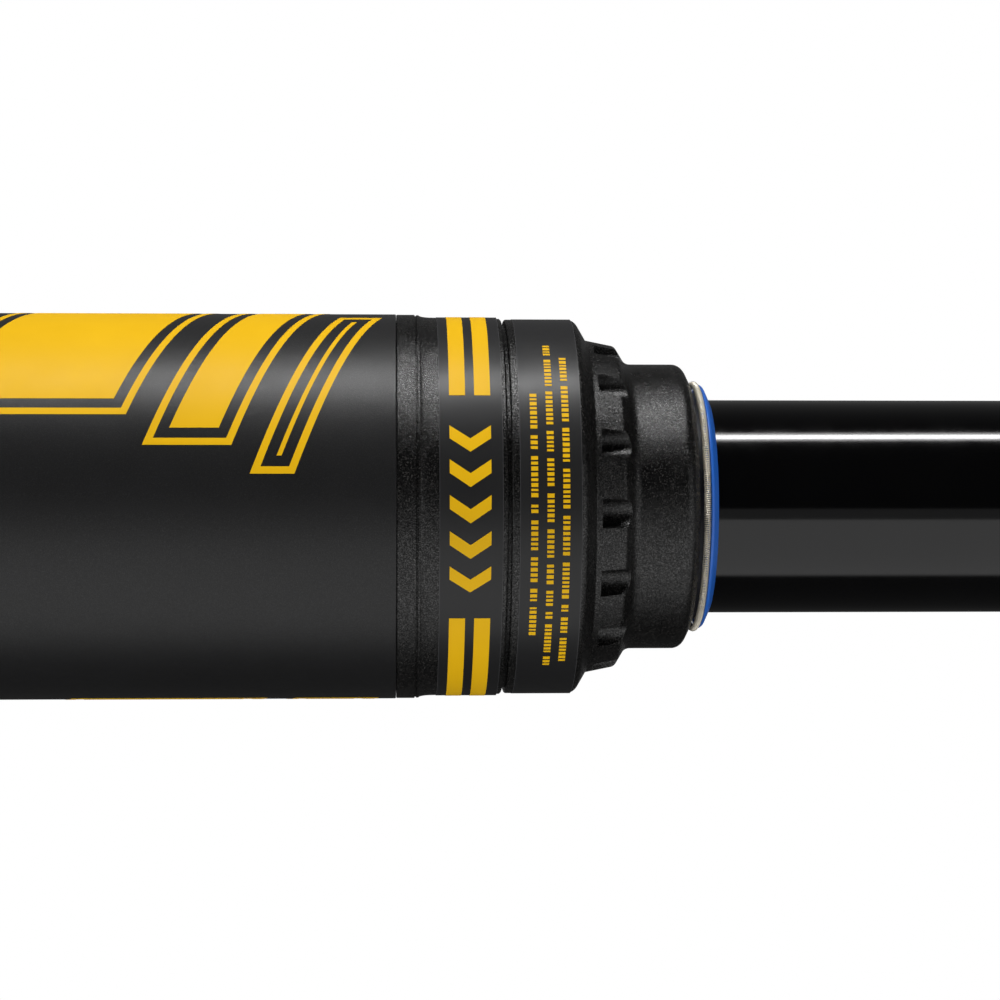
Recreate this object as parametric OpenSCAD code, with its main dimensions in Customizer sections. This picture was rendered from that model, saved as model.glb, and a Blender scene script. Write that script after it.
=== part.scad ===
// Air-sprung rear shock absorber. Millimetres, +Z up. The origin is the centre of the eye at the
// air-can end, +X runs along the shock to the other eye, and both eye bores run along Y.
// Outlines are lists of [radius, x] points that are turned about the X axis.

/* [Size] */
// Distance between the eye centres when the shock is extended
eye_to_eye = 230; // [225:1:240]
// How far the shock shortens
stroke = 60; // [50:1:60]
// Room from the eye centre to the air piston when the shock is fully compressed
head_room = 35; // [35:0.5:38]

/* [Air can] */
// Outer diameter of the outer sleeve
sleeve_d = 56; // [55:0.5:60]
// Wall of the outer sleeve
sleeve_wall = 1.25; // [1:0.05:1.3]
// Bore that the air piston runs in
can_bore = 46; // [44:0.5:46]
// Wall of the inner can between its two bosses
can_wall = 1.25; // [1:0.05:1.5]
// Length of the visible collar at the end of the inner can
collar_len = 15.1; // [14:0.1:17]

/* [Damper] */
// Outer diameter of the damper tube
tube_d = 31.2; // [31:0.1:31.6]
// Wall of the damper tube
tube_wall = 2.1; // [1.8:0.1:2.3]
// Diameter of the damper shaft
shaft_d = 10; // [9.6:0.1:10.2]
// Length of the air piston
piston_len = 11.5; // [11.5:0.1:13]

/* [Eyes] */
// Outer diameter of each eye
eye_d = 24; // [22:0.5:26]
// Width of each eye
eye_width = 14; // [12:0.5:15]
// Bore of each eye, which the bushing is pressed into
eye_bore = 15; // [14.6:0.1:15.2]
// Diameter of the axle that turns in the bushing
axle_d = 12.66; // [12.6:0.01:12.68]
// Hole through the axle for the mounting bolt
bolt_d = 8; // [6:0.5:8]
// Overall width of the hardware at the air-can eye
head_pin_width = 30; // [24:0.5:40]
// Overall width of the hardware at the damper eye
body_pin_width = 22; // [20:0.5:40]

/* [Seal head] */
// Number of pockets in the pin-spanner ring
pocket_count = 15; // [10:1:18]
// Radius of each pocket
pocket_r = 1.9; // [1.5:0.1:2.3]

/* [Adjusters] */
// Turn of the rebound dial in degrees
dial_turn = 300; // [180:5:300]
// Rise of the dial's cam over that turn
cam_rise = 1.31; // [0.8:0.01:1.35]
// Reach of the compression lever from its axis
lever_reach = 21; // [16:0.5:24]

/* [Hidden] */
$fn = 96;
run = 0.05;          // radial clearance of a running fit
clear = 0.3;         // gap between pieces of different bodies

// radii
sleeve_r = sleeve_d / 2;
sleeve_in = sleeve_r - sleeve_wall;
can_r = can_bore / 2;
boss_r = sleeve_in - run;
tube_r = tube_d / 2;
tube_in = tube_r - tube_wall;
shaft_r = shaft_d / 2;
stud_r = 3;
rod_r = 1.5;
groove_d = 1.7;      // depth of an O-ring groove
groove_w = 2.2;      // width of an O-ring groove

// places along X, from the air-can eye to the damper eye
flange_x = head_room - 13;
can_x = flange_x + 5;
spigot_end = head_room - 1;
piston_x = head_room + stroke;
seal_x = piston_x + piston_len + 3.5;
cap_x = seal_x + 7.9;
collar_end = cap_x - 0.5;
collar_x = collar_end - collar_len;
sleeve_x = can_x + 0.3;
sleeve_end = collar_x - 0.05;
wrench_x = cap_x + 11.8;
nose_x = cap_x + 18.9;
front_x = cap_x + 27.2;
nose_end = front_x - 0.4;
tip_x = front_x + 2.9;
guide_end = piston_x + 10;
shoulder_x = eye_to_eye - 17;
tube_x = piston_x + 2;
piston_shoulder = guide_end + 2;
main_x = piston_shoulder + 2;
floating_x = shoulder_x - 30;

// radii of the seal head and the wiper
cap_r = sleeve_r - 0.7;
wrench_r = sleeve_r - 3.78;
nose_r = tube_r + 5.22;
mouth_r = tube_r + 2.55;
wiper_r = tube_r + 2.25;
coil_r = 0.53;       // radius of the garter spring's coil

// adjusters and valve
dial_x = 14;
sleeve_stem_r = 4.2;
stem_r = 2.5;
cam_r = 2.6;
neck_h = 12;         // half height and half width of the neck
lever_z = neck_h + clear;
lever_h = 4;
hub_r = 7;
ball_y = 5.9;
valve_x = 15.5;
valve_end = 23;      // distance of the valve's mouth from the centre plane
valve_r = 3.85;
bleed_r = 2;

// colours
black = [0.07, 0.07, 0.075];
satin = [0.12, 0.12, 0.125];
steel = [0.7, 0.71, 0.73];
bronze = [0.6, 0.45, 0.2];
rubber = [0.09, 0.09, 0.09];
plastic = [0.3, 0.34, 0.32];

// points of a rounded corner about [r, x], from angle a to angle b, measured from the radius
function arc(r, x, size_r, size_x, a, b, steps = 8) =
  [for (i = [0:steps]) let (t = a + (b - a) * i / steps) [r + size_r * cos(t), x + size_x * sin(t)]];

// outline of a four-lobed seal about [r, x]
function four_lobes(r, x, size, lobe) =
  [for (t = [0:10:350]) let (d = size - lobe * cos(4 * t)) [r + d * cos(t), x + d * sin(t)]];

module turned(outline) rotate([0, 90, 0]) rotate_extrude() polygon(outline);

module ring(x0, x1, r0, r1) turned([[r0, x0], [r1, x0], [r1, x1], [r0, x1]]);

module rod_x(x0, x1, r) translate([x0, 0, 0]) rotate([0, 90, 0]) cylinder(h = x1 - x0, r = r);

module rod_y(x, y0, y1, r) translate([x, y0, 0]) rotate([-90, 0, 0]) cylinder(h = y1 - y0, r = r);

module tube_y(x, y0, y1, r0, r1) difference() {
  rod_y(x, y0, y1, r1);
  rod_y(x, y0 - 1, y1 + 1, r0);
}

module cord_ring(x, r, d) rotate([0, 90, 0]) rotate_extrude() translate([r, x]) circle(d = d, $fn = 32);

module both_sides() {
  children();
  mirror([0, 1, 0]) children();
}

module around_x(count, start = 0)
  for (i = [0:count - 1]) rotate([start + i * 360 / count, 0, 0]) children();

module eye_bushing(x) color(bronze) tube_y(x, -eye_width / 2, eye_width / 2, axle_d / 2 + 0.04, eye_bore / 2);

module eye_axle(x, width) color(steel) tube_y(x, -width / 2, width / 2, bolt_d / 2, axle_d / 2);

module eye_spacers(x, width) color(satin) both_sides() difference() {
  inner = eye_width / 2 + clear;
  union() {
    tube_y(x, inner, width / 2, axle_d / 2, 8.5);
    tube_y(x, inner, inner + 1.6, axle_d / 2, 9.4);
  }
  rod_y(x, inner - 1, inner + 1, axle_d / 2 + 1.25);
}

module eye_seals(x) color(rubber) both_sides()
  translate([x, eye_width / 2 + clear + 0.5, 0]) rotate([90, 0, 0])
    rotate_extrude() translate([axle_d / 2 + 0.62, 0]) circle(d = 0.9, $fn = 24);

// ---- air-can end ----

module head_outside() {
  rod_y(0, -eye_width / 2, eye_width / 2, eye_d / 2);
  translate([0, -eye_width / 2, -neck_h + 1]) cube([flange_x + 1, eye_width, 2 * neck_h - 2]);
  intersection() {
    translate([9.6, -neck_h, -neck_h]) cube([flange_x - 8.6, 2 * neck_h, 2 * neck_h]);
    rod_x(9, flange_x + 1, neck_h + 3);
  }
  flange_r = sleeve_r - 0.5;
  turned(concat(
    [[0, flange_x], [flange_r - 2, flange_x]],
    arc(flange_r - 2, flange_x + 2, 2, 2, -90, 0),
    [[flange_r, can_x], [can_r, can_x], [can_r, can_x + 2], [can_r - groove_d, can_x + 2],
     [can_r - groove_d, can_x + 2 + groove_w], [can_r, can_x + 2 + groove_w],
     [can_r, spigot_end - 0.6], [can_r - 0.6, spigot_end], [0, spigot_end]]));
}

module head_eyelet() color(satin) difference() {
  head_outside();
  rod_y(0, -eye_width, eye_width, eye_bore / 2);
  rod_x(flange_x - 3, spigot_end + 1, shaft_r);
  rod_x(dial_x, flange_x, rod_r + 0.2);
  rod_x(spigot_end - 3.8, spigot_end + 1, 16);
  ring(flange_x + 4, flange_x + 4 + groove_w, shaft_r - 0.1, shaft_r + 1.4);
  // bore for the dial and lever stems, and the cam's room below it
  translate([dial_x, 0, -3.3]) cylinder(h = neck_h + 5, r = sleeve_stem_r + run);
  // pocket for the lever's detent
  translate([dial_x, ball_y, 5]) cylinder(h = neck_h, r = 1.05);
  // seat of the air valve and the passage from it to the air chamber
  rod_y(valve_x, -neck_h - 1, -6, 3.3);
  translate([0, -7.9, 0]) rod_x(valve_x, spigot_end - 3, 0.8);
  rod_y(valve_x, neck_h - 4.5, neck_h + 1, bleed_r);
}

module damper_shaft() color(steel) difference() {
  union() {
    rod_x(flange_x - 3, piston_shoulder, shaft_r);
    rod_x(piston_shoulder, main_x + 15, stud_r);
  }
  rod_x(flange_x - 4, main_x + 16, rod_r + 0.1);
  translate([piston_shoulder - 3, 0, 0]) for (a = [0, 90])
    rotate([a, 0, 0]) translate([0, -shaft_r - 1, 0]) rod_y(0, 0, 2 * shaft_r + 2, 0.9);
}

module shaft_base_oring() color(rubber) cord_ring(flange_x + 4 + groove_w / 2, shaft_r + 0.69, 1.34);

module main_piston() color([0.75, 0.7, 0.5]) difference() {
  piston_r = tube_in - 0.1;
  turned([[stud_r, main_x], [piston_r - 0.4, main_x], [piston_r, main_x + 0.4], [piston_r, main_x + 2],
    [piston_r - 0.8, main_x + 2], [piston_r - 0.8, main_x + 6], [piston_r, main_x + 6],
    [piston_r, main_x + 7.6], [piston_r - 0.4, main_x + 8], [stud_r, main_x + 8]]);
  around_x(6) translate([0, 0, 8.6]) rod_x(main_x - 1, main_x + 9, 1.4);
  around_x(6, 30) translate([0, 0, 6]) rod_x(main_x - 1, main_x + 9, 0.9);
}

module piston_band() color(plastic) difference() {
  ring(main_x + 2.05, main_x + 5.95, tube_in - 0.9, tube_in - run);
  translate([main_x, -0.2, tube_in - 3]) cube([8, 0.4, 6]);
}

// a pyramid of thin discs on the piston's stud, the widest against the piston
module shim_stack(x, direction) color(steel) for (i = [0:3])
  ring(min(x + direction * 0.45 * i, x + direction * (0.45 * i + 0.4)),
       max(x + direction * 0.45 * i, x + direction * (0.45 * i + 0.4)), stud_r, tube_in - 3 - 2 * i);

module compression_shims() shim_stack(main_x + 8.05, 1);

module rebound_shims() shim_stack(main_x - 0.05, -1);

module piston_nut() color(steel) difference() {
  rod_nut_x = main_x + 9.9;
  translate([rod_nut_x, 0, 0]) rotate([0, 90, 0]) cylinder(h = 4.4, r = 5.8, $fn = 6);
  rod_x(rod_nut_x - 1, rod_nut_x + 6, stud_r);
}

module inner_air_can() color(satin) {
  band_r = sleeve_r - 0.05;
  lip_r = sleeve_r - 0.1;
  waist_r = sleeve_r - 0.45;
  lip_x = collar_x + 2.7;
  turned(concat(
    [[can_r, can_x], [boss_r, can_x], [boss_r, can_x + 2], [boss_r - groove_d, can_x + 2],
     [boss_r - groove_d, can_x + 2 + groove_w], [boss_r, can_x + 2 + groove_w], [boss_r, can_x + 7],
     [can_r + can_wall, can_x + 9], [can_r + can_wall, sleeve_end - 9], [boss_r, sleeve_end - 7],
     [boss_r, sleeve_end - 5], [boss_r - groove_d, sleeve_end - 5],
     [boss_r - groove_d, sleeve_end - 5 + groove_w], [boss_r, sleeve_end - 5 + groove_w],
     [boss_r, collar_x], [band_r - 0.1, collar_x], [band_r, collar_x + 0.1], [band_r, lip_x - 0.1],
     [band_r - 0.2, lip_x], [band_r - 0.2, lip_x + 0.1], [lip_r, lip_x + 0.2], [lip_r, lip_x + 0.5]],
    arc(lip_r, lip_x + 2.4, waist_r - lip_r, -1.9, 90, 0),
    [[waist_r - 0.15, collar_end - 0.2], [waist_r - 0.35, collar_end], [can_r, collar_end]]));
}

module outer_air_sleeve() color(black) turned(concat(
  [[sleeve_in, sleeve_x], [sleeve_r - 0.6, sleeve_x]],
  arc(sleeve_r - 0.6, sleeve_x + 0.6, 0.6, 0.6, -90, 0, 5),
  arc(sleeve_r - 0.15, sleeve_end - 0.15, 0.15, 0.15, 0, 90, 4),
  [[sleeve_in, sleeve_end]]));

module sleeve_orings() color(rubber)
  for (x = [can_x + 2, sleeve_end - 5]) cord_ring(x + groove_w / 2, boss_r - 0.87, 1.62);

module can_oring() color(rubber) cord_ring(can_x + 2 + groove_w / 2, can_r - 0.85, 1.62);

module volume_spacer() color([0.15, 0.35, 0.6]) difference() {
  ring(can_x + 13, can_x + 37, can_r + can_wall + 0.1, sleeve_in - 0.15);
  translate([can_x + 10, -4, -sleeve_r - 1]) cube([30, 8, 10]);
}

// ---- seal head ----

module seal_head() color(black) difference() {
  inner_r = tube_r + clear;
  bush_r = tube_r + 1.4;
  quad_r = tube_r + 2.7;
  turned(concat(
    [[inner_r, seal_x], [can_r - 0.5, seal_x], [can_r, seal_x + 0.5], [can_r, seal_x + 2.5],
     [can_r - groove_d, seal_x + 2.5], [can_r - groove_d, seal_x + 2.5 + groove_w],
     [can_r, seal_x + 2.5 + groove_w], [can_r, cap_x - 0.45], [cap_r - 0.9, cap_x - 0.45],
     [cap_r - 0.9, cap_x], [cap_r - 0.2, cap_x], [cap_r, cap_x + 0.2]],
    arc(cap_r - 1.4, wrench_x - 2.1, 1.2, 1.2, 0, 64),
    [[wrench_r + 0.1, wrench_x]],
    arc(wrench_r - 1.6, wrench_x + 3.4, 0.9, 0.9, 0, 50, 6),
    arc(nose_r + 2, nose_x, -2, -2, 50, 0),
    arc(mouth_r + 0.05, nose_end - 1.9, nose_r - mouth_r - 0.05, 1.9, 0, 90, 10),
    [[mouth_r, nose_end], [mouth_r, front_x - 7], [inner_r, front_x - 7], [inner_r, front_x - 9],
     [bush_r, front_x - 9], [bush_r, cap_x + 3.2], [inner_r, cap_x + 3.2], [inner_r, cap_x + 0.4],
     [quad_r, cap_x + 0.4], [quad_r, seal_x + 2], [inner_r, seal_x + 2]]));
  // pockets of the pin-spanner ring
  around_x(pocket_count, 2.6) translate([0, -wrench_r, 0]) rod_x(wrench_x + 0.9, wrench_x + 5.8, pocket_r);
}

module seal_head_oring() color(rubber) cord_ring(seal_x + 2.5 + groove_w / 2, can_r - 0.87, 1.62);

module tube_bushing() color(bronze) ring(cap_x + 3.3, front_x - 9.1, tube_r + run, tube_r + 1.4);

module quad_ring() color(rubber) turned(four_lobes(tube_r + 1.35, seal_x + 5.15, 1.25, 0.27));

module backup_rings() color(plastic)
  for (x = [seal_x + 2.2, seal_x + 6.8]) ring(x, x + 1.2, tube_r + 0.1, tube_r + 2.6);

module wiper_seal() color([0.13, 0.4, 0.75]) {
  seat_x = front_x - 6.9;
  groove_r = wiper_r - 0.6;
  turned(concat(
    [[tube_r + 0.6, seat_x], [mouth_r - 0.05, seat_x], [mouth_r - 0.05, front_x - 1.2],
     [groove_r, front_x - 0.7], [groove_r, front_x + 1.2], [wiper_r - 0.15, front_x + 1.3]],
    arc(wiper_r - 0.25, front_x + 1.55, 0.25, 0.25, -60, 45, 5),
    [[tube_r + 0.35, tip_x - 0.1], [tube_r + 0.2, tip_x], [tube_r + run, tip_x - 0.1],
     [tube_r + run, tip_x - 0.5], [tube_r + 0.6, tip_x - 2.2]]));
}

module garter_spring() color([0.75, 0.73, 0.68]) cord_ring(front_x + 0.65, wiper_r, 2 * coil_r);

module top_out_bumper() color([0.8, 0.7, 0.3]) ring(seal_x - 3.2, seal_x - 0.1, tube_r + 1.2, can_r - 1.5);

module bottom_out_bumper() color([0.8, 0.7, 0.3]) {
  bumper_x = spigot_end - 3.7;
  turned(concat([[9.3, bumper_x], [15.6, bumper_x]],
    arc(12.45, head_room - 2.3, 3.15, 2, 0, 180, 12)));
}

// ---- valve, bleed screw and detent on the air-can end ----

module valve_body() color(steel) difference() {
  union() {
    rod_y(valve_x, -neck_h, -6.2, 3.3);
    translate([valve_x, -neck_h - 2, 0]) rotate([-90, 0, 0]) cylinder(h = 2, r = 5.2, $fn = 6);
    rod_y(valve_x, -valve_end + 0.6, -neck_h - 2, valve_r - 0.35);
    for (i = [0:8]) rod_y(valve_x, -valve_end + 1 + 0.8 * i, -valve_end + 1.4 + 0.8 * i, valve_r);
    rod_y(valve_x, -valve_end, -valve_end + 0.7, valve_r - 0.6);
  }
  rod_y(valve_x, -valve_end - 1, -6, 2.3);
}

module valve_core() color(bronze) difference() {
  union() {
    rod_y(valve_x, -valve_end + 0.8, -valve_end + 4, 2.25);
    rod_y(valve_x, -valve_end + 4, -valve_end + 9, 1.6);
    rod_y(valve_x, -valve_end + 9, -valve_end + 11, 2.25);
    rod_y(valve_x, -valve_end + 11, -8, 1.5);
  }
  rod_y(valve_x, -valve_end, -7, 0.75);
  // room for the pin's head when the pin is pressed
  rod_y(valve_x, -valve_end, -valve_end + 1.8, 1.1);
}

module valve_pin() color(steel) {
  rod_y(valve_x, -valve_end + 0.3, -9.5, 0.65);
  rod_y(valve_x, -valve_end + 0.2, -valve_end + 0.5, 0.9);
}

module valve_cap() color(satin) difference() {
  cap_end = valve_end + 3;
  union() {
    rod_y(valve_x, -cap_end + 0.5, -neck_h - 2.3, 5);
    rod_y(valve_x, -cap_end, -cap_end + 0.6, 4.5);
    translate([valve_x, 0, 0]) for (a = [0:15:345])
      rotate([0, a, 0]) translate([4.9, -cap_end + 1.2, 0]) rotate([-90, 0, 0]) cylinder(h = 8.6, r = 0.35, $fn = 16);
  }
  rod_y(valve_x, -cap_end + 1.4, -neck_h, valve_r + 0.1);
}

module valve_cap_seal() color(rubber) tube_y(valve_x, -valve_end - 1.6, -valve_end - 0.9, 1.4, valve_r);

module bleed_screw() color(steel) difference() {
  rod_y(valve_x, neck_h - 4.4, neck_h - 0.6, bleed_r - 0.02);
  translate([valve_x, neck_h - 2.4, 0]) rotate([-90, 0, 0]) cylinder(h = 4, r = 1.15, $fn = 6);
}

module detent_ball() color(steel) translate([dial_x, ball_y, neck_h - 1.15]) sphere(r = 1);

module detent_spring() color(steel) translate([dial_x, ball_y, 5.2])
  for (i = [0:6]) translate([0, 0, 0.2 + 0.66 * i]) rotate_extrude() translate([0.75, 0]) circle(r = 0.16, $fn = 16);

// ---- damper body ----

module damper_tube() color(black) ring(tube_x, shoulder_x, tube_in, tube_r);

module shaft_guide() color(steel) {
  x = piston_x;
  bore = shaft_r + 0.4;
  turned([[shaft_r + 2, x], [tube_r, x], [tube_r, tube_x], [tube_in, tube_x], [tube_in, x + 5],
    [tube_in - 1.4, x + 5], [tube_in - 1.4, x + 5 + groove_w], [tube_in, x + 5 + groove_w],
    [tube_in, guide_end - 0.5], [tube_in - 0.5, guide_end], [bore, guide_end], [bore, x + 9.1],
    [shaft_r + 1.2, x + 9.1], [shaft_r + 1.2, x + 3.9], [bore, x + 3.9], [bore, x + 3.4],
    [shaft_r + 2.2, x + 3.4], [shaft_r + 2.2, x + 1.6], [bore, x + 1.6], [bore, x + 1.3],
    [shaft_r + 2, x + 1.3]]);
}

module shaft_bushing() color(bronze) ring(piston_x + 4, piston_x + 9, shaft_r + run, shaft_r + 1.2);

module shaft_seal() color(rubber) ring(piston_x + 1.7, piston_x + 3.3, shaft_r + run, shaft_r + 2.15);

module shaft_wiper() color(rubber) {
  x = piston_x + 0.1;
  turned([[shaft_r + run, x], [shaft_r + 0.6, x], [shaft_r + 1.2, x + 0.5], [shaft_r + 1.95, x + 0.5],
    [shaft_r + 1.95, x + 1.1], [shaft_r + run, x + 1.1]]);
}

module guide_oring() color(rubber) cord_ring(piston_x + 5 + groove_w / 2, tube_in - 0.71, 1.34);

module air_piston() color(satin) {
  x = piston_x;
  piston_r = can_r - 0.4;
  turned([[tube_r, x], [tube_r + 3, x], [tube_r + 4, x + 1], [piston_r - 0.5, x + 1], [piston_r, x + 1.5],
    [piston_r - 0.7, x + 1.5], [piston_r - 0.7, x + 5.7], [piston_r, x + 5.7], [piston_r, x + 6.8],
    [piston_r - 2.7, x + 6.8], [piston_r - 2.7, x + 10.3], [piston_r, x + 10.3],
    [piston_r, x + piston_len - 0.4], [piston_r - 0.4, x + piston_len], [tube_r, x + piston_len]]);
}

module air_piston_seal() color(rubber) turned(four_lobes(can_r - 1.55, piston_x + 8.55, 1.55, 0.3));

module air_piston_band() color(plastic) difference() {
  ring(piston_x + 1.6, piston_x + 5.6, can_r - 1.05, can_r - run);
  translate([piston_x, -0.3, can_r - 3]) cube([7, 0.6, 6]);
}

module body_eyelet() color(satin) difference() {
  x = shoulder_x;
  shoulder_r = tube_r + 1.6;
  union() {
    turned(concat(
      [[0, x - 9], [tube_in - 0.5, x - 9], [tube_in, x - 8.5], [tube_in, x - 6],
       [tube_in - 1.5, x - 6], [tube_in - 1.5, x - 6 + groove_w], [tube_in, x - 6 + groove_w], [tube_in, x]],
      arc(shoulder_r - 0.5, x + 0.5, 0.5, 0.5, -90, 0, 4),
      arc(shoulder_r - 2, x + 4.6, 2, 2, 0, 60, 6),
      [[12, x + 7], [0, x + 7]]));
    rod_y(eye_to_eye, -eye_width / 2, eye_width / 2, eye_d / 2);
    translate([x + 4, -eye_width / 2, -eye_d / 2 + 1]) cube([13, eye_width, eye_d - 2]);
  }
  rod_y(eye_to_eye, -eye_width, eye_width, eye_bore / 2);
  // charging port of the gas chamber behind the floating piston
  rod_y(x + 3.2, -shoulder_r - 1, -12.2, 2.1);
  rod_y(x + 3.2, -13, -9, 0.8);
  translate([0, -9.5, 0]) rod_x(x - 10, x + 3.4, 0.7);
}

module body_oring() color(rubber) cord_ring(shoulder_x - 6 + groove_w / 2, tube_in - 0.76, 1.42);

module fill_port_screw() color(steel) difference() {
  rod_y(shoulder_x + 3.2, -16.6, -14.2, 2.08);
  translate([shoulder_x + 3.2, -17, 0]) rotate([-90, 0, 0]) cylinder(h = 2, r = 1.2, $fn = 6);
}

module fill_port_pellet() color(rubber) rod_y(shoulder_x + 3.2, -14.1, -12.3, 2);

// ---- floating piston ----

module floating_piston() color([0.75, 0.7, 0.5]) {
  x = floating_x;
  r = tube_in - 0.1;
  turned([[0, x], [r - 0.5, x], [r, x + 0.5], [r, x + 2], [r - 1.5, x + 2], [r - 1.5, x + 2 + groove_w],
    [r, x + 2 + groove_w], [r, x + 6], [r - 0.6, x + 6], [r - 0.6, x + 8.8], [r, x + 8.8], [r, x + 10],
    [9.5, x + 10], [8, x + 4], [0, x + 4]]);
}

module floating_piston_oring() color(rubber) cord_ring(floating_x + 2 + groove_w / 2, tube_in - 0.82, 1.5);

module floating_piston_band() color(plastic) difference() {
  ring(floating_x + 6.05, floating_x + 8.75, tube_in - 0.68, tube_in - run);
  translate([floating_x + 5, -0.25, tube_in - 3]) cube([5, 0.5, 6]);
}

// ---- adjusters ----

module compression_lever() color([0.1, 0.35, 0.7]) difference() {
  union() {
    translate([dial_x, 0, lever_z]) cylinder(h = lever_h, r = hub_r);
    translate([dial_x, 0, lever_z]) hull() {
      translate([0, -hub_r + 2.5, 0]) cylinder(h = lever_h - 0.6, r = 3.6, $fn = 32);
      translate([0, -lever_reach + 2.4, 0]) cylinder(h = lever_h - 1.4, r = 2.4, $fn = 32);
    }
    translate([dial_x, 0, 4.5]) cylinder(h = lever_z - 4, r = sleeve_stem_r);
  }
  translate([dial_x, 0, 3]) cylinder(h = lever_z + lever_h, r = stem_r + run);
  // detent dimples at the lever's three settings
  translate([dial_x, 0, 0]) for (a = [0, 45, 90])
    rotate([0, 0, a]) translate([0, ball_y, lever_z - 0.7]) sphere(r = 1.1);
}

// snail cam whose radius grows by the same amount for each degree
module cam() {
  outline = [for (t = [0:10:dial_turn]) let (r = cam_r + cam_rise * t / dial_turn) [r * cos(t), -r * sin(t)]];
  translate([dial_x, 0, -2.4]) linear_extrude(4.8) polygon(outline);
}

module rebound_knob() color([0.75, 0.1, 0.1]) {
  knob_z = lever_z + lever_h + clear;
  cam();
  translate([dial_x, 0, 2.3]) cylinder(h = knob_z - 2, r = stem_r);
  translate([dial_x, 0, knob_z]) difference() {
    union() {
      cylinder(h = 4.2, r = 5.9);
      cylinder(h = 4.8, r = 5.3);
    }
    for (a = [0:15:345]) rotate([0, 0, a]) translate([6.1, 0, 0.8]) cylinder(h = 5, r = 0.5, $fn = 24);
    translate([0, 0, 3.2]) cylinder(h = 3, r = 1.45, $fn = 6);
  }
}

module metering_rod() color(steel) {
  rod_start = dial_x + cam_r + 0.1;
  tip = main_x + 6;
  rod_x(rod_start, tip, rod_r);
  turned([[0, tip], [rod_r - 0.2, tip], [0.5, tip + 5], [0, tip + 5]]);
}

module head_bushing() eye_bushing(0);

module body_bushing() eye_bushing(eye_to_eye);

module head_axle() eye_axle(0, head_pin_width);

module body_axle() eye_axle(eye_to_eye, body_pin_width);

module head_spacers() eye_spacers(0, head_pin_width);

module body_spacers() eye_spacers(eye_to_eye, body_pin_width);

module head_eye_seals() eye_seals(0);

module body_eye_seals() eye_seals(eye_to_eye);

// travel-indicator ring, parked at the damper eye's shoulder
module sag_oring() color(rubber) cord_ring(tip_x + stroke + clear + 1.3, tube_r + run + 1.3, 2.6);

head_eyelet();
head_bushing();
damper_shaft();
shaft_base_oring();
main_piston();
piston_band();
compression_shims();
rebound_shims();
piston_nut();
inner_air_can();
outer_air_sleeve();
sleeve_orings();
can_oring();
volume_spacer();
seal_head();
seal_head_oring();
tube_bushing();
quad_ring();
backup_rings();
wiper_seal();
garter_spring();
top_out_bumper();
bottom_out_bumper();
valve_body();
valve_core();
bleed_screw();
detent_ball();
detent_spring();
damper_tube();
shaft_guide();
shaft_bushing();
shaft_seal();
shaft_wiper();
guide_oring();
air_piston();
air_piston_seal();
air_piston_band();
body_eyelet();
body_bushing();
body_oring();
fill_port_screw();
fill_port_pellet();
floating_piston();
floating_piston_oring();
floating_piston_band();
compression_lever();
rebound_knob();
metering_rod();
valve_cap();
valve_cap_seal();
valve_pin();
head_axle();
head_spacers();
head_eye_seals();
body_axle();
body_spacers();
body_eye_seals();
sag_oring();
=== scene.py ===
import math
import bpy
import mathutils
import numpy as np
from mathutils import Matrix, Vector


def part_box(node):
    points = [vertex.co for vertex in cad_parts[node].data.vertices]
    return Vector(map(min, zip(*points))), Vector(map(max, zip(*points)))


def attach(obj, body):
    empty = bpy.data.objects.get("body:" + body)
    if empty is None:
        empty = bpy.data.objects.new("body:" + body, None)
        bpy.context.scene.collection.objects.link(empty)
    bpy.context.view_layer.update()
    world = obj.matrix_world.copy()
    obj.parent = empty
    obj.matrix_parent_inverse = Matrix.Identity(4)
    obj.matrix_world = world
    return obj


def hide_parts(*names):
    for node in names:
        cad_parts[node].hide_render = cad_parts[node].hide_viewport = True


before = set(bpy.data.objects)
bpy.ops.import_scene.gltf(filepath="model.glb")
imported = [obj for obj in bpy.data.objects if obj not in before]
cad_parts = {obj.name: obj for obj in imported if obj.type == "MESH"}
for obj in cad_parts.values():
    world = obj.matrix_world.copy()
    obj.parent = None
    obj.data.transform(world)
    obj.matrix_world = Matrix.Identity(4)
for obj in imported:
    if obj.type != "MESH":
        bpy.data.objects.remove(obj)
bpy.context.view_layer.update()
mm = 0.001  # one millimetre, in metres

print("camera")
camera = {"foot": 101.1 * mm, "distance": 358.7 * mm, "height": 0.93 * mm, "yaw": 2.617,
          "lens": 88.2, "sensor": 36}
cameraData = bpy.data.cameras.new("camera")
cameraData.lens = camera["lens"]
cameraData.sensor_width = camera["sensor"]
cameraData.clip_start = 0.01
cameraObject = bpy.data.objects.new("camera", cameraData)
cameraObject.location = (camera["foot"], -camera["distance"], camera["height"])
cameraObject.rotation_euler = (math.pi / 2, 0, -math.radians(camera["yaw"]))
bpy.context.scene.collection.objects.link(cameraObject)
bpy.context.scene.camera = cameraObject


def linkPiece(name, verts, faces, material, body, sharp=35):
    # a mesh from the arrays, smooth except where two faces meet at more than the sharp angle
    mesh = bpy.data.meshes.new(name)
    mesh.from_pydata(verts.tolist(), [], faces.tolist())
    mesh.materials.append(material)
    mesh.shade_smooth()
    mesh.set_sharp_from_angle(angle=math.radians(sharp))
    mesh.update()
    piece = bpy.data.objects.new(name, mesh)
    bpy.context.scene.collection.objects.link(piece)
    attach(piece, body)
    return piece


def gridFaces(rows, columns, wrapRows, wrapColumns):
    # quads between neighbouring grid points; a wrapped direction closes on its first line
    i = np.arange(rows if wrapRows else rows - 1)
    j = np.arange(columns if wrapColumns else columns - 1)
    i, j = np.meshgrid(i, j, indexing="ij")
    up, right = (i + 1) % rows, (j + 1) % columns
    corners = (i * columns + j, i * columns + right, up * columns + right, up * columns + j)
    return np.stack(corners, -1).reshape(-1, 4)


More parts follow.
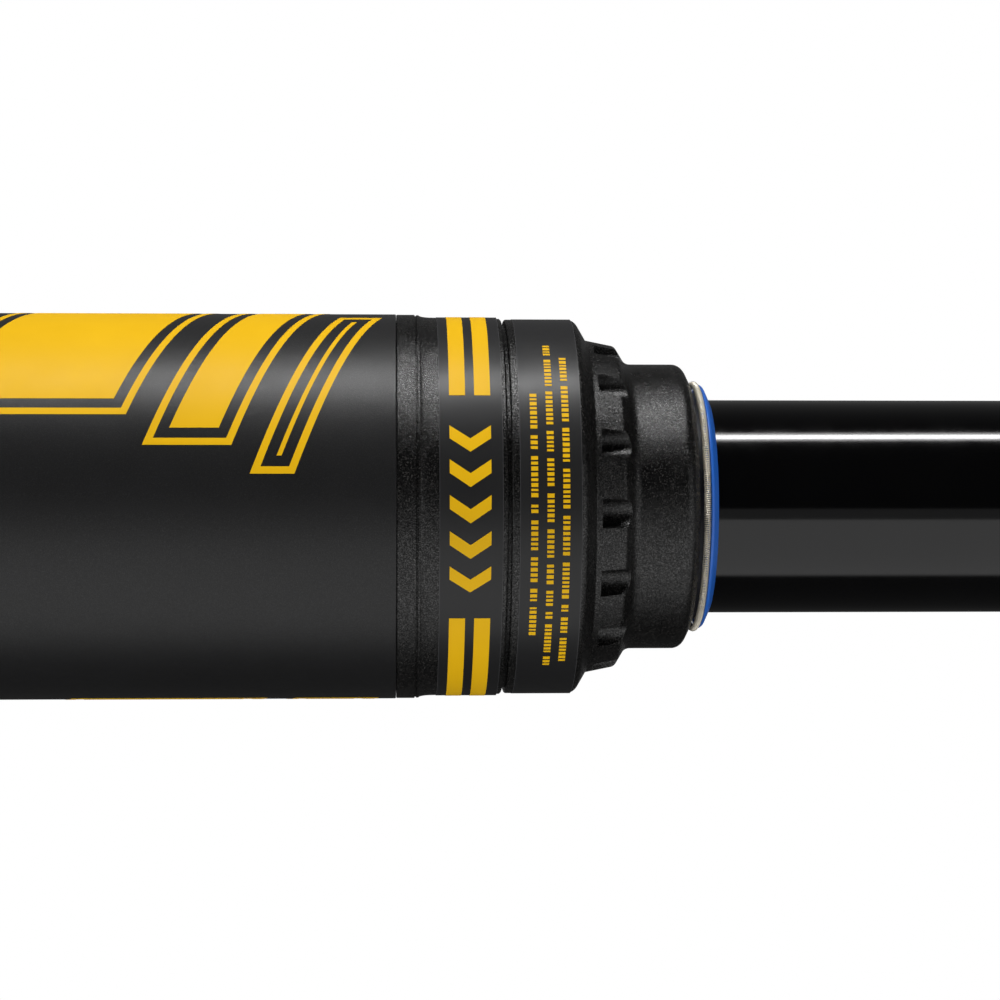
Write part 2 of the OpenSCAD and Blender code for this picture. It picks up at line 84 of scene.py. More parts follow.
def roundedOutline(corners, steps=6):
    # each corner (x, r, rounding) becomes an arc that touches both of its sides
    points = np.array([c[:2] for c in corners], float)
    out = []
    for k, (x, r, rounding) in enumerate(corners):
        here, back, ahead = points[k], points[k - 1], points[(k + 1) % len(points)]
        a, b = back - here, ahead - here
        lengthA, lengthB = np.hypot(*a), np.hypot(*b)
        a, b = a / lengthA, b / lengthB
        angle = math.acos(np.clip(a @ b, -1, 1))
        cut = min(rounding / math.tan(angle / 2), 0.49 * lengthA, 0.49 * lengthB) if rounding else 0
        if cut < 1e-9:
            out.append(here[None])
            continue
        radius = cut * math.tan(angle / 2)
        middle = here + (a + b) / np.hypot(*(a + b)) * radius / math.sin(angle / 2)
        start, end = here + a * cut - middle, here + b * cut - middle
        t = np.linspace(0, 1, steps)[:, None]
        turn = math.pi - angle
        arc = (np.sin((1 - t) * turn) * start + np.sin(t * turn) * end) / math.sin(turn)
        out.append(middle + arc)
    return np.concatenate(out)


def densify(outline, longest):
    # each side of the outline longer than its limit is cut into equal steps
    ends = np.roll(outline, -1, 0)
    pieces = []
    for a, b, limit in zip(outline, ends, np.broadcast_to(longest, len(outline))):
        count = max(1, int(np.ceil(np.hypot(*(b - a)) / limit)))
        pieces.append(a + (b - a) * (np.arange(count) / count)[:, None])
    return np.concatenate(pieces)


def turnAboutX(x, r, angle):
    # a point at radius r and angle from the -Y side, positive upwards
    return np.stack(np.broadcast_arrays(x, -r * np.cos(angle), r * np.sin(angle)), -1)


def turnedRing(name, outline, around, material, body, sharp=35):
    # the closed outline [x, r] carried once round the X axis
    angle = np.arange(around) * 2 * np.pi / around
    verts = turnAboutX(outline[:, None, 0], outline[:, None, 1], angle[None, :]).reshape(-1, 3)
    faces = gridFaces(len(outline), around, True, True)
    return linkPiece(name, verts, faces, material, body, sharp)


def setInput(tree, socket, value):
    # another node's socket is linked, and anything else is the input's own value
    if isinstance(value, bpy.types.NodeSocket):
        tree.links.new(value, socket)
    else:
        socket.default_value = value


def addNode(tree, kind, settings=None, **inputs):
    node = tree.nodes.new(kind)
    for key, value in (settings or {}).items():
        setattr(node, key, value)
    for key, value in inputs.items():
        setInput(tree, node.inputs[key.replace("_", " ")], value)
    return node


def rescale(tree, value, low, high, fromLow=0.3, fromHigh=0.7):
    # noise lies mostly between 0.3 and 0.7
    return addNode(tree, "ShaderNodeMapRange", None, Value=value, From_Min=fromLow, From_Max=fromHigh,
                   To_Min=low, To_Max=high).outputs["Result"]


def noise(tree, place, scale, detail=2.0, roughness=0.5):
    return addNode(tree, "ShaderNodeTexNoise", None, Vector=place, Scale=scale, Detail=detail,
                   Roughness=roughness).outputs["Fac"]


# what a finish has unless it says otherwise
plainFinish = {"mottleScale": 90, "mottleEdges": (0.3, 0.7), "patchScale": 260, "metallic": 0.0, "ior": 1.5,
               "coat": 0.0, "coatRough": 0.1, "grainScale": 4000, "glintRange": (0.46, 0.74), "lineDepth": 1.0,
               "bump": 0.3, "depth": 0.00002}


def finish(name, own):
    # base colour mottled between two tones, roughness with slow patches, fine grain as bump, glints
    # where the surface sparkles, and lathe lines round the X axis where the piece is turned
    spec = {**plainFinish, "second": [c * 0.8 for c in own["colour"]], **own}
    material = bpy.data.materials.new(name)
    material.use_nodes = True
    tree = material.node_tree
    shader = tree.nodes["Principled BSDF"]
    place = addNode(tree, "ShaderNodeTexCoord").outputs["Object"]
    mottle = rescale(tree, noise(tree, place, spec["mottleScale"], 4), 0, 1, *spec["mottleEdges"])
    tone = addNode(tree, "ShaderNodeMix", {"data_type": "RGBA"}, Factor=mottle)
    tone.inputs["A"].default_value = (*spec["colour"], 1)
    tone.inputs["B"].default_value = (*spec["second"], 1)
    tree.links.new(tone.outputs["Result"], shader.inputs["Base Color"])
    patches = noise(tree, place, spec["patchScale"], 5, 0.6)
    tree.links.new(rescale(tree, patches, *spec["rough"]), shader.inputs["Roughness"])
    shader.inputs["Metallic"].default_value = spec["metallic"]
    shader.inputs["IOR"].default_value = spec["ior"]
    shader.inputs["Coat Weight"].default_value = spec["coat"]
    shader.inputs["Coat Roughness"].default_value = spec["coatRough"]
    if "sparkle" in spec:
        scale, low, high = spec["sparkle"]
        glints = rescale(tree, noise(tree, place, scale, 1.0), low, high, *spec["glintRange"])
        tree.links.new(glints, shader.inputs["Specular IOR Level"])
    height = noise(tree, place, spec["grainScale"], 2.0, 0.6)
    if "lines" in spec:
        turned = addNode(tree, "ShaderNodeMapping", None, Vector=place, Scale=spec["lines"])
        lathe = noise(tree, turned.outputs["Vector"], 1, 3)
        both = addNode(tree, "ShaderNodeMath", {"operation": "MULTIPLY_ADD"})
        for socket, value in zip(both.inputs, (lathe, spec["lineDepth"], height)):
            setInput(tree, socket, value)
        height = both.outputs[0]
    bump = addNode(tree, "ShaderNodeBump", None, Height=height, Strength=spec["bump"], Distance=spec["depth"])
    tree.links.new(bump.outputs["Normal"], shader.inputs["Normal"])
    return material


print("finishes")
finishes = {
    "satinAnodised": {"colour": (0.004, 0.004, 0.0046), "second": (0.003, 0.003, 0.0034), "rough": (0.28, 0.34),
                      "ior": 1.33, "coat": 0.45, "coatRough": 0.62, "grainScale": 7000, "bump": 0.4,
                      "depth": 0.00008, "sparkle": (9000, 0.36, 0.66)},
    # the second tone is sparse pale specks in the base colour, painted glints on the blasted grain
    "blastedAnodised": {"colour": (0.001, 0.001, 0.001), "second": (0.058, 0.055, 0.052), "rough": (0.23, 0.3),
                        "mottleScale": 4400, "mottleEdges": (0.53, 0.78), "ior": 1.5, "grainScale": 6400,
                        "bump": 0.9, "depth": 0.00007, "sparkle": (6200, 0.22, 1.0)},
    "glossTube": {"colour": (0.002, 0.002, 0.0022), "rough": (0.08, 0.12), "ior": 1.44, "grainScale": 1500,
                  "bump": 0.02, "depth": 0.00001, "lines": (9000, 60, 60), "lineDepth": 0.5},
    "labelFilm": {"colour": (0.006, 0.006, 0.0068), "second": (0.005, 0.005, 0.0055), "rough": (0.33, 0.38),
                  "ior": 1.31, "coat": 0.45, "coatRough": 0.62, "grainScale": 3500, "bump": 0.1, "depth": 0.00003},
    # painted highlight: the paler line along the label film edges
    "filmEdgeHighlight": {"colour": (0.055, 0.055, 0.058), "rough": (0.35, 0.5), "ior": 1.4, "bump": 0.1},
    "yellowPrint": {"colour": (0.90, 0.52, 0.007), "second": (0.86, 0.49, 0.006), "rough": (0.42, 0.5),
                    "ior": 1.22, "grainScale": 5500, "bump": 0.25, "depth": 0.00005},
    "blueElastomer": {"colour": (0.02, 0.145, 0.62), "second": (0.016, 0.125, 0.55), "rough": (0.32, 0.45),
                      "ior": 1.5, "grainScale": 2200, "bump": 0.15, "depth": 0.00003},
    # painted shade: the blue wiper in the shadow of the mouth, as a dark navy
    "paintedShadeNavy": {"colour": (0.003, 0.005, 0.014), "rough": (0.45, 0.6), "bump": 0.2},
    "springWire": {"colour": (0.95, 0.89, 0.75), "second": (0.86, 0.80, 0.67), "rough": (0.24, 0.34),
                   "metallic": 0.5, "ior": 1.7, "grainScale": 6000, "bump": 0.1},
    "bareAluminium": {"colour": (0.72, 0.72, 0.73), "rough": (0.26, 0.36), "metallic": 1.0,
                      "lines": (7000, 200, 200), "bump": 0.2},
    "machinedSteel": {"colour": (0.5, 0.5, 0.52), "rough": (0.2, 0.34), "metallic": 1.0, "bump": 0.15},
    "hardChrome": {"colour": (0.68, 0.69, 0.72), "rough": (0.06, 0.1), "metallic": 1.0,
                   "lines": (9000, 300, 300), "bump": 0.04},
    "sinteredBronze": {"colour": (0.42, 0.29, 0.13), "second": (0.3, 0.2, 0.1), "rough": (0.4, 0.55),
                       "metallic": 1.0, "grainScale": 3000, "bump": 0.4},
    "turnedBrass": {"colour": (0.7, 0.5, 0.2), "rough": (0.2, 0.32), "metallic": 1.0, "bump": 0.1},
    "sealRubber": {"colour": (0.018, 0.018, 0.018), "second": (0.028, 0.028, 0.028), "rough": (0.55, 0.75),
                   "grainScale": 2500, "bump": 0.4, "depth": 0.00004},
    "bumperElastomer": {"colour": (0.5, 0.34, 0.06), "rough": (0.4, 0.6), "grainScale": 1800, "bump": 0.2},
    "guidePlastic": {"colour": (0.1, 0.13, 0.11), "second": (0.15, 0.17, 0.14), "rough": (0.45, 0.6),
                     "bump": 0.25},
    "spacerPlastic": {"colour": (0.03, 0.13, 0.3), "rough": (0.35, 0.5), "bump": 0.2},
    "blueAnodised": {"colour": (0.015, 0.09, 0.4), "second": (0.012, 0.07, 0.33), "rough": (0.26, 0.34),
                     "metallic": 0.85, "grainScale": 4500, "bump": 0.25},
    "redAnodised": {"colour": (0.5, 0.015, 0.012), "second": (0.42, 0.012, 0.01), "rough": (0.26, 0.34),
                    "metallic": 0.85, "grainScale": 4500, "bump": 0.25}}
materials = {name: finish(name, spec) for name, spec in finishes.items()}

nodeFinish = {
    "satinAnodised": ["outer_air_sleeve", "head_eyelet", "body_eyelet", "air_piston", "valve_cap"],
    "blastedAnodised": ["inner_air_can", "seal_head"],
    "glossTube": ["damper_tube"],
    "hardChrome": ["damper_shaft"],
    "bareAluminium": ["main_piston", "shaft_guide", "floating_piston", "head_spacers", "body_spacers"],
    "machinedSteel": ["compression_shims", "rebound_shims", "piston_nut", "valve_body", "bleed_screw",
                      "detent_ball", "detent_spring", "fill_port_screw", "metering_rod", "valve_pin",
                      "head_axle", "body_axle"],
    "springWire": ["garter_spring"],
    "sinteredBronze": ["head_bushing", "body_bushing", "tube_bushing", "shaft_bushing"],
    "turnedBrass": ["valve_core"],
    "sealRubber": ["shaft_base_oring", "sleeve_orings", "can_oring", "seal_head_oring", "quad_ring",
                   "shaft_seal", "shaft_wiper", "guide_oring", "air_piston_seal", "body_oring",
                   "fill_port_pellet", "floating_piston_oring", "valve_cap_seal", "head_eye_seals",
                   "body_eye_seals", "sag_oring"],
    "blueElastomer": ["wiper_seal"],
    "bumperElastomer": ["top_out_bumper", "bottom_out_bumper"],
    "guidePlastic": ["piston_band", "backup_rings", "air_piston_band", "floating_piston_band"],
    "spacerPlastic": ["volume_spacer"],
    "blueAnodised": ["compression_lever"],
    "redAnodised": ["rebound_knob"]}
for finishName, nodeNames in nodeFinish.items():
    for nodeName in nodeNames:
        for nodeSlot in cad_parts[nodeName].material_slots:
            nodeSlot.material = materials[finishName]


print("seal head")
headLow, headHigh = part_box("seal_head")
sleeveLow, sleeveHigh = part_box("outer_air_sleeve")
canLow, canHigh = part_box("inner_air_can")
tubeLow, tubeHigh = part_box("damper_tube")
wiperLow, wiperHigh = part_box("wiper_seal")
capR = headHigh.z
sleeveR = sleeveHigh.z
tubeR = tubeHigh.z
noseEnd = headHigh.x
capStart = noseEnd - 26.8 * mm

sealHead = {"pockets": 15, "start": 2.3, "pocketR": 2.0 * mm, "sink": 0.3 * mm, "ring": capStart + 11.8 * mm,
            "ringLength": 6 * mm, "pocketStep": 0.11 * mm, "ringR": sleeveR - 3.78 * mm, "rootR": 20.8 * mm,
            "noseR": tubeR + 5.22 * mm, "mouthR": tubeR + 2.55 * mm, "mouthDepth": 6.6 * mm, "lipWidth": 2 * mm,
            "spigotR": 23.0 * mm, "grooveDepth": 1.7 * mm, "bore": tubeR + 0.3 * mm, "bushingR": tubeR + 1.4 * mm,
            "bumperR": tubeR + 2.7 * mm, "soft": 0.10 * mm, "blend": 0.22 * mm}


def sealHeadOutline(s):
    # closed outline of the turned head: spigot with its O-ring groove, cap, spanner ring, nose, mouth, lip,
    # bushing seat and bumper seat, each corner given as x, radius and rounding
    ring, bore, back = s["ring"], s["bore"], headLow.x
    grooveR = s["spigotR"] - s["grooveDepth"]
    mouth = noseEnd - s["mouthDepth"]
    outline = roundedOutline([
        (back, bore, 0), (back, s["spigotR"], 0.5 * mm), (back + 2.5 * mm, s["spigotR"], 0.1 * mm),
        (back + 2.5 * mm, grooveR, 0), (back + 4.7 * mm, grooveR, 0), (back + 4.7 * mm, s["spigotR"], 0.1 * mm),
        (capStart - 0.45 * mm, s["spigotR"], 0), (capStart - 0.45 * mm, capR - 0.9 * mm, 0.05 * mm),
        (capStart, capR - 0.9 * mm, 0), (capStart, capR, 0.3 * mm), (ring - 1.75 * mm, capR, 1.5 * mm),
        (ring, s["ringR"] + 0.1 * mm, 0.35 * mm), (ring + 4.2 * mm, s["ringR"] - 0.75 * mm, 0.8 * mm),
        (ring + 5.8 * mm, s["noseR"], 1.6 * mm), (noseEnd - 1.15 * mm, s["noseR"], 1.7 * mm),
        (noseEnd, s["mouthR"] + 0.3 * mm, 0.35 * mm), (noseEnd, s["mouthR"], 0.08 * mm), (mouth, s["mouthR"], 0),
        (mouth, bore, 0), (mouth - s["lipWidth"], bore, 0), (mouth - s["lipWidth"], s["bushingR"], 0),
        (capStart + 3.2 * mm, s["bushingR"], 0), (capStart + 3.2 * mm, bore, 0), (capStart + 0.4 * mm, bore, 0),
        (capStart + 0.4 * mm, s["bumperR"], 0), (back + 2 * mm, s["bumperR"], 0), (back + 2 * mm, bore, 0)], 8)
    # fine steps over the spanner ring, where the pockets are cut
    x, ends = outline[:, 0], np.roll(outline[:, 0], -1)
    onRing = (outline[:, 1] > s["rootR"]) & (ring - 0.2 * mm < x) & (ends < ring + s["ringLength"]) & (ends > x)
    return densify(outline, np.where(onRing, s["pocketStep"], 3 * mm))


def softOver(value, width):
    # 0 below zero and the value above it, with a round bend of the given width between them
    return np.where(value > width, value, np.where(value < -width, 0, (value + width) ** 2 / (4 * width)))


def sealHeadSurface(s):
    # the outline carried once round the X axis, with the radius drawn in to the pocket floors on the ring
    outline = sealHeadOutline(s)
    pitch = 2 * np.pi / s["pockets"]
    edge = s["pocketR"] / s["ringR"]
    half = np.unique(np.concatenate([np.linspace(0, edge * 0.8, 7), np.linspace(edge * 0.8, edge * 1.15, 9),
                                     np.linspace(edge * 1.15, pitch / 2, 5)]))
    across = np.concatenate([-half[:0:-1], half[:-1]])
    angle = (across[None, :] + pitch * np.arange(s["pockets"])[:, None]).reshape(-1) - math.radians(s["start"])
    fromMiddle = np.tile(across, s["pockets"])[None, :]
    x, r = outline[:, None, 0], outline[:, None, 1]
    # pocket floor: the near side of a round cutter whose middle lies a little below the ring's surface
    side = s["pocketR"] ** 2 - (s["ringR"] * np.sin(fromMiddle)) ** 2
    floor = (s["ringR"] - s["sink"]) * np.cos(fromMiddle) - np.sqrt(np.maximum(side, 0))
    depth = softOver(r - floor, s["soft"]) * (side >= 0)
    start, end = s["ring"] + 0.9 * mm, s["ring"] + s["ringLength"]
    inside = np.clip((x - start) / s["blend"] + 0.5, 0, 1) * np.clip((end - x) / s["blend"] + 0.5, 0, 1)
    inside = inside * inside * (3 - 2 * inside)
    outer = (np.arange(len(outline)) < np.argmax(outline[:, 0]) + 1)[:, None]
    carved = np.where(outer & (r > s["rootR"]), r - depth * inside, r)
    verts = turnAboutX(x, carved, angle[None, :]).reshape(-1, 3)
    return verts, gridFaces(len(outline), len(angle), True, True)


headVerts, headFaces = sealHeadSurface(sealHead)
headPiece = linkPiece("seal_head_body", headVerts, headFaces, materials["blastedAnodised"], "air_can",
                      50)
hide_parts("seal_head")


print("garter spring")
garter = {"coils": 400, "coilR": 0.45 * mm, "wireR": 0.068 * mm, "stepsPerCoil": 10, "sides": 5}


def garterSurface(s):
    # a helix wound round a circle about X: the wire's centre turns about the circle as it goes round,
    # and a small circle square to the wire is carried along it
    low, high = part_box("garter_spring")
    middleX = (low.x + high.x) / 2
    ringR = high.z - (high.x - low.x) / 2
    steps = s["coils"] * s["stepsPerCoil"]
    t = np.arange(steps) * 2 * np.pi / steps

    def wirePoint(around):
        wind = around * s["coils"]
        return turnAboutX(middleX + s["coilR"] * np.sin(wind), ringR + s["coilR"] * np.cos(wind), around)

    centre = wirePoint(t)
    small = 1e-4
    along = wirePoint(t + small) - wirePoint(t - small)
    along /= np.linalg.norm(along, axis=1, keepdims=True)
    outwards = centre - turnAboutX(np.full(steps, middleX), np.full(steps, ringR), t)
    outwards /= np.linalg.norm(outwards, axis=1, keepdims=True)
    across = np.cross(along, outwards)
    side = (np.arange(s["sides"]) * 2 * np.pi / s["sides"])[None, :, None]
    verts = centre[:, None] + s["wireR"] * (np.cos(side) * outwards[:, None] + np.sin(side) * across[:, None])
    return verts.reshape(-1, 3), gridFaces(steps, s["sides"], True, True)


garterVerts, garterFaces = garterSurface(garter)
garterPiece = linkPiece("garter_spring_coil", garterVerts, garterFaces, materials["springWire"], "air_can",
                        80)
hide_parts("garter_spring")


print("wiper")
wiper = {"seat": noseEnd - 6.5 * mm, "seatR": wiperHigh.z, "grooveR": tubeR + 0.9 * mm,
         "lipR": wiperHigh.z - 0.1 * mm, "lip": noseEnd + 1.65 * mm, "tip": noseEnd + 2.95 * mm,
         "insideR": tubeR + 0.05 * mm, "reliefR": tubeR + 0.6 * mm}


def wiperOutline(s):
    # closed outline: seat in the mouth, groove for the garter spring, and a lip that slopes to the tube
    seat, seatR, inside = s["seat"], s["seatR"], s["insideR"]
    return roundedOutline([
        (seat, s["reliefR"], 0), (seat, seatR, 0.1 * mm), (noseEnd - 0.9 * mm, seatR, 0.1 * mm),
        (noseEnd - 0.7 * mm, s["grooveR"], 0.2 * mm), (s["lip"] - 0.1 * mm, s["grooveR"], 0.2 * mm),
        (s["lip"], s["lipR"], 0.12 * mm), (s["lip"] + 0.45 * mm, s["lipR"] - 0.3 * mm, 0.4 * mm),
        (s["tip"] - 0.05 * mm, tubeR + 0.35 * mm, 0.1 * mm), (s["tip"], inside, 0.05 * mm),
        (s["tip"] - 0.6 * mm, inside, 0.1 * mm), (s["tip"] - 2.3 * mm, s["reliefR"], 0)], 5)


recess = {"back": noseEnd - 1.3 * mm, "front": noseEnd + 1.2 * mm, "underR": wiper["grooveR"] - 0.5 * mm,
          "floorR": wiper["grooveR"] + 0.12 * mm, "wallR": wiper["seatR"] + 0.03 * mm}


def recessOutline(s):
    # closed outline of a dark navy ring behind the garter spring, painted shade on the blue wiper deep in the
    # mouth: an L against the mouth's wall
    return np.array([(s["back"], s["wallR"]), (noseEnd - 0.7 * mm, s["wallR"]),
                     (noseEnd - 0.4 * mm, s["floorR"]), (s["front"], s["floorR"]), (s["front"], s["underR"]),
                     (s["back"], s["underR"])])


# a dark navy ring of painted shade where the blue wiper lies in the mouth's shadow
turnedRing("wiper_recess_shade", recessOutline(recess), 240, materials["paintedShadeNavy"], "air_can")
wiperPiece = turnedRing("wiper_lip", densify(wiperOutline(wiper), 1.2 * mm), 360, materials["blueElastomer"],
                        "air_can", 40)
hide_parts("wiper_seal")


print("label films and prints")
labels = {"film": 0.045 * mm, "print": 0.04 * mm, "collarFilm": (-9.3 * mm, -0.7 * mm),
          "capFilm": (1.15 * mm, 9.55 * mm), "edge": 0.02 * mm, "line": 0.035 * mm, "lineProud": 0.006 * mm,
          "filmFoot": 0.05 * mm, "foot": 0.02 * mm}
collarR = canHigh.z - 0.4 * mm  # the collar lies a little under the can's largest radius


def filmRing(name, start, end, radius, s):
    # a thin flat band once round the X axis, from start to end
    filmR, footR = radius + s["film"], radius - s["filmFoot"]
    outline = roundedOutline([(start, footR, 0), (end, footR, 0), (end, filmR, s["edge"]),
                              (start, filmR, s["edge"])], 4)
    turnedRing(name, outline[::-1], 240, materials["labelFilm"], "air_can", 60)
    # a thin paler line along both edges, a painted highlight on the film's edge
    lineR, footR = filmR + s["lineProud"], radius - s["foot"]
    for side, x in (("left", start), ("right", end)):
        line = np.array([(x - s["line"], lineR), (x + s["line"], lineR), (x + s["line"], footR),
                         (x - s["line"], footR)])
        turnedRing(name + "_edge_" + side, line, 240, materials["filmEdgeHighlight"], "air_can")


for name, origin, (start, end), radius in (("collar_label_film", canHigh.x, labels["collarFilm"], collarR),
                                           ("cap_label_film", capStart, labels["capFilm"], capR)):
    filmRing(name, origin + start, origin + end, radius, labels)


def wrappedPatch(corners, radius, s, longest=0.8 * mm):
    # a four-sided patch drawn flat as (x, distance round the surface), rolled onto the cylinder: each point
    # is the blend of the corners by u and v, and its angle is the distance over the radius
    corners = np.array(corners, float)
    acrossSpan = max(np.hypot(*(corners[1] - corners[0])), np.hypot(*(corners[2] - corners[3])))
    alongSpan = max(np.hypot(*(corners[3] - corners[0])), np.hypot(*(corners[2] - corners[1])))
    n, m = max(1, int(np.ceil(acrossSpan / longest))) + 1, max(1, int(np.ceil(alongSpan / longest))) + 1
    u, v = np.linspace(0, 1, n)[None, :, None], np.linspace(0, 1, m)[:, None, None]
    flat = (1 - v) * ((1 - u) * corners[0] + u * corners[1]) + v * ((1 - u) * corners[3] + u * corners[2])
    top = turnAboutX(flat[..., 0], radius + s["print"], flat[..., 1] / radius)
    under = turnAboutX(flat[..., 0], radius - s["foot"], flat[..., 1] / radius)
    rim = np.concatenate([np.arange(n), np.arange(2 * n - 1, n * m, n),
                          np.arange(n * m - 2, n * (m - 1) - 1, -1), np.arange(n * (m - 2), 0, -n)])
    after = np.roll(rim, -1)
    lid = gridFaces(m, n, False, False)
    walls = np.stack([rim + n * m, after + n * m, after, rim], -1)
    faces = np.concatenate([lid, lid[:, ::-1] + n * m, walls])
    across, along = corners[1] - corners[0], corners[3] - corners[0]
    if across[0] * along[1] < across[1] * along[0]:
        faces = faces[:, ::-1]  # drawn clockwise
    return np.concatenate([top.reshape(-1, 3), under.reshape(-1, 3)]), faces


def printPieces(name, patches, radius):
    # all patches of one print in one mesh
    verts, faces, count = [], [], 0
    for corners in patches:
        v, f = wrappedPatch(corners, radius, labels)
        verts.append(v)
        faces.append(f + count)
        count += len(v)
    linkPiece(name, np.concatenate(verts), np.concatenate(faces), materials["yellowPrint"], "air_can",
              30)


def slantedBar(x0, x1, low, high, slant, inset=0.0):
    # a bar between two heights round the sleeve, leaning along X as it rises
    low, high = low + inset, high - inset
    aside = inset * math.hypot(1, slant)
    return [(x0 + aside + slant * low, low), (x1 - aside + slant * low, low),
            (x1 - aside + slant * high, high), (x0 + aside + slant * high, high)]


bars = {"slant": 0.37, "top": 62 * mm, "pivot": 14 * mm, "keyline": 1.0 * mm, "gap": 1.5 * mm,
        "margin": 2 * mm, "backTurn": 101 * mm,
        "bars": [(38 * mm, 66 * mm, 13 * mm), (70 * mm, 82 * mm, 8.5 * mm), (86 * mm, 92 * mm, 4.5 * mm)]}


def sleeveGraphics(s, turned):
    # three slanted bars, each in an outline, moved round the sleeve by the distance turned
    patches = []
    for x0, x1, low in s["bars"]:
        start = x0 - s["slant"] * s["pivot"]
        end = x1 - s["slant"] * s["pivot"]
        # the bar stops short of the sleeve's end
        top = min(s["top"], (sleeveHigh.x - s["margin"] - end) / s["slant"])
        outer = slantedBar(start, end, low, top, s["slant"])
        hollow = slantedBar(start, end, low, top, s["slant"], s["keyline"])
        patches += [[outer[k], outer[(k + 1) % 4], hollow[(k + 1) % 4], hollow[k]] for k in range(4)]
        patches.append(slantedBar(start, end, low, top, s["slant"], s["keyline"] + s["gap"]))
    return [[(x, y - turned) for x, y in patch] for patch in patches]


printPieces("sleeve_bars_front", sleeveGraphics(bars, 0), sleeveR)
printPieces("sleeve_bars_back", sleeveGraphics(bars, bars["backTurn"]), sleeveR)


collarPrint = {"stripes": [(-7.95 * mm, -5.75 * mm), (-4.5 * mm, -2.3 * mm)], "stop": 16.2 * mm, "end": 70 * mm,
               "chevrons": 5, "pitch": 4.9 * mm, "rise": 1.6 * mm, "thick": 1.9 * mm}


def collarGraphics(s):
    # two stripes round the far side, and a row of chevrons between their ends
    patches = []
    for x0, x1 in s["stripes"]:
        x0, x1 = canHigh.x + x0, canHigh.x + x1
        patches.append([(x0, s["stop"]), (x1, s["stop"]), (x1, s["end"]), (x0, s["end"])])
        patches.append([(x0, -s["end"]), (x1, -s["end"]), (x1, -s["stop"]), (x0, -s["stop"])])
    left, right = canHigh.x + s["stripes"][0][0], canHigh.x + s["stripes"][1][1]
    middle = (left + right) / 2
    thick = s["thick"]
    for k in range(s["chevrons"]):
        y = ((s["chevrons"] - 1) / 2 - k) * s["pitch"]
        side, tip = y + s["rise"], y - s["rise"] * 0.2
        patches.append([(left, side), (middle, tip), (middle, tip - thick), (left, side - thick)])
        patches.append([(middle, tip), (right, side), (right, side - thick), (middle, tip - thick)])
    return patches


printPieces("collar_stripes", collarGraphics(collarPrint), collarR + labels["film"])


capPrint = {"rows": [(6.95 * mm, 23.5 * mm, -25.5 * mm), (4.8 * mm, 26.5 * mm, -26.5 * mm),
                     (2.6 * mm, 16.5 * mm, -19.5 * mm)], "width": 0.95 * mm,
            "block": (0.28 * mm, 0.6 * mm), "gap": 0.26 * mm, "groupGap": 0.75 * mm, "group": (2, 9),
            "seed": 4}


def capGraphics(s):
    # rows of plain blocks of one height, in groups of uneven length
    random = np.random.default_rng(s["seed"])
    patches = []
    for x, start, end in s["rows"]:
        x += capStart
        y = start
        while y > end:
            for _ in range(random.integers(*s["group"])):
                stop = y - random.uniform(*s["block"])
                if stop > end:
                    patches.append([(x, stop), (x + s["width"], stop), (x + s["width"], y), (x, y)])
                y = stop - s["gap"]
            y -= s["groupGap"]
    return patches


printPieces("cap_dashes", capGraphics(capPrint), capR + labels["film"])


print("studio")
studio = {"floor": -0.13, "size": 3.0, "card": (-0.53, -0.034), "cardGlow": 1.14, "backGlow": 0.035,
          "farGlow": 0.26, "far": 0.7, "aim": (0.09, 0, 0), "worldGlow": (0.006, 0.11)}
lamps = {"top_strip": {"place": (0.1, -0.109, 0.5), "size": (0.46, 0.05), "power": 2.0},
         "top_glow": {"place": (0.1, -0.109, 0.51), "size": (0.5, 0.105), "power": 0.8},
         "left_panel": {"place": (-0.75, -0.62, 0.12), "size": (0.5, 0.6), "power": 1.2},
         "right_panel": {"place": (0.95, -0.62, 0.12), "size": (0.5, 0.6), "power": 1.2}}


def whiteToCamera(tree, shader):
    # the camera sees plain white, and everything else sees the given light
    path = addNode(tree, "ShaderNodeLightPath")
    white = addNode(tree, "ShaderNodeEmission", None, Color=(1, 1, 1, 1), Strength=1.0)
    mix = addNode(tree, "ShaderNodeMixShader")
    tree.links.new(path.outputs["Is Camera Ray"], mix.inputs[0])
    tree.links.new(shader, mix.inputs[1])
    tree.links.new(white.outputs[0], mix.inputs[2])
    return mix.outputs[0]


def step(tree, value, edge, change, width):
    # 0 before the edge and the change after it, eased over the width
    eased = addNode(tree, "ShaderNodeMapRange", {"interpolation_type": "SMOOTHSTEP"}, Value=value,
                    From_Min=edge - width / 2, From_Max=edge + width / 2, To_Min=0, To_Max=change)
    return eased.outputs["Result"]


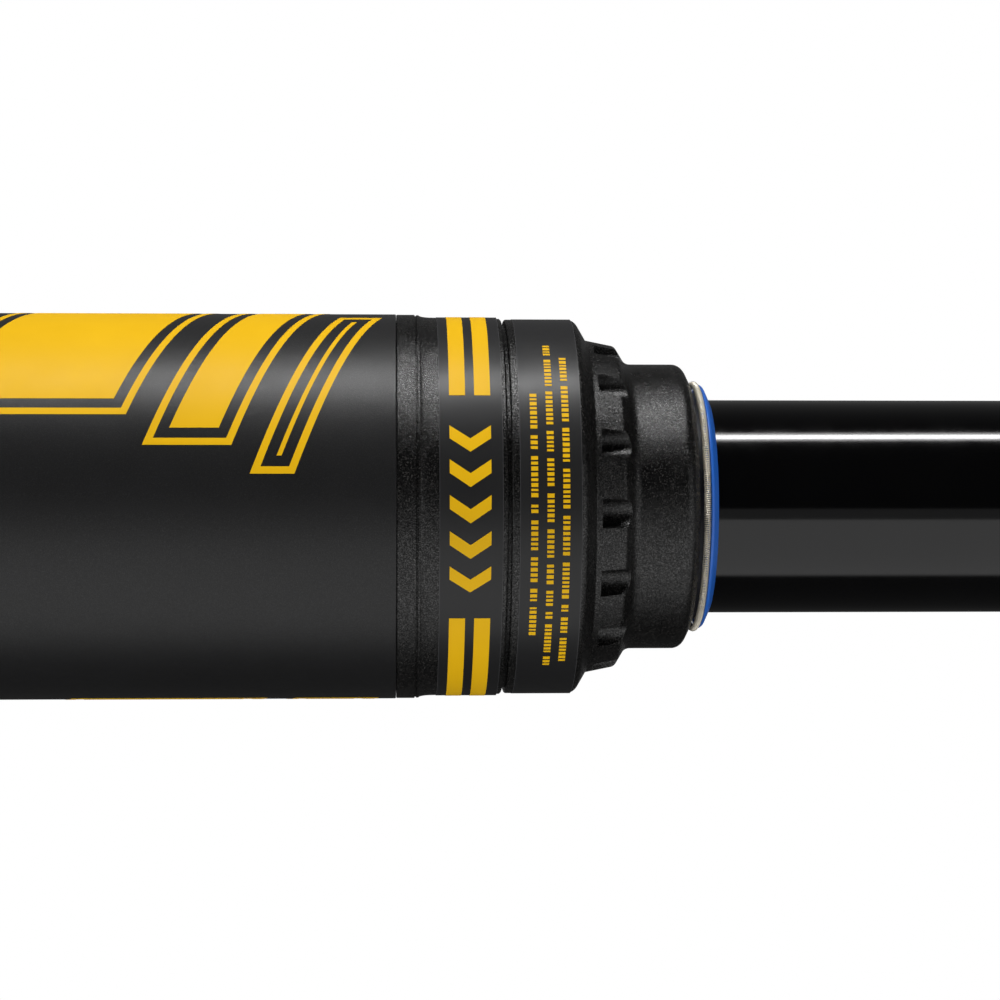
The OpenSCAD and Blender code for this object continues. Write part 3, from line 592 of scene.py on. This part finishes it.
def makeFloor(s):
    # a white card lies on the floor in front, and behind it the floor is dim, then grey further off
    corners = np.array([(-1, -1), (1, -1), (1, 1), (-1, 1)]) * s["size"]
    verts = np.concatenate([corners, np.full((4, 1), s["floor"])], 1)
    mesh = bpy.data.meshes.new("studio_floor")
    mesh.from_pydata(verts.tolist(), [], [[0, 1, 2, 3]])
    material = bpy.data.materials.new("paleFloor")
    material.use_nodes = True
    tree = material.node_tree
    tree.nodes.remove(tree.nodes["Principled BSDF"])
    place = addNode(tree, "ShaderNodeTexCoord").outputs["Object"]
    y = addNode(tree, "ShaderNodeSeparateXYZ", None, Vector=place).outputs["Y"]
    front, back = s["card"]
    glow = s["farGlow"]
    for edge, change, width in ((front, s["cardGlow"] - s["farGlow"], 0.02),
                                (back, s["backGlow"] - s["cardGlow"], 0.012),
                                (s["far"], s["farGlow"] - s["backGlow"], 0.3)):
        total = addNode(tree, "ShaderNodeMath", {"operation": "ADD"})
        setInput(tree, total.inputs[0], step(tree, y, edge, change, width))
        setInput(tree, total.inputs[1], glow)
        glow = total.outputs[0]
    light = addNode(tree, "ShaderNodeEmission", None, Color=(1, 1, 1, 1), Strength=glow)
    tree.links.new(whiteToCamera(tree, light.outputs[0]), tree.nodes["Material Output"].inputs["Surface"])
    mesh.materials.append(material)
    floor = bpy.data.objects.new("studio_floor", mesh)
    bpy.context.scene.collection.objects.link(floor)


def makeWorld(s):
    # dark towards the front, grey behind and above
    world = bpy.data.worlds.new("studio")
    bpy.context.scene.world = world
    world.use_nodes = True
    tree = world.node_tree
    ground = tree.nodes["Background"]
    direction = addNode(tree, "ShaderNodeTexCoord").outputs["Generated"]
    parts = addNode(tree, "ShaderNodeSeparateXYZ", None, Vector=direction)
    behind = rescale(tree, parts.outputs["Y"], *s["worldGlow"], 0.0, 0.9)
    ground.inputs["Color"].default_value = (1, 1, 1, 1)
    tree.links.new(behind, ground.inputs["Strength"])
    tree.links.new(whiteToCamera(tree, ground.outputs[0]), tree.nodes["World Output"].inputs["Surface"])


def makeLamp(name, lamp, aim):
    # a soft rectangle, turned to face the middle of the object
    light = bpy.data.lights.new(name, "AREA")
    light.shape = "RECTANGLE"
    light.size, light.size_y = lamp["size"]
    light.energy = lamp["power"]
    lampObject = bpy.data.objects.new(name, light)
    lampObject.location = lamp["place"]
    towards = mathutils.Vector(aim) - mathutils.Vector(lamp["place"])
    lampObject.rotation_euler = towards.to_track_quat("-Z", "Y").to_euler()
    bpy.context.scene.collection.objects.link(lampObject)


makeFloor(studio)
makeWorld(studio)
for lampName, lamp in lamps.items():
    makeLamp(lampName, lamp, studio["aim"])
bpy.context.scene.view_settings.view_transform = "Standard"
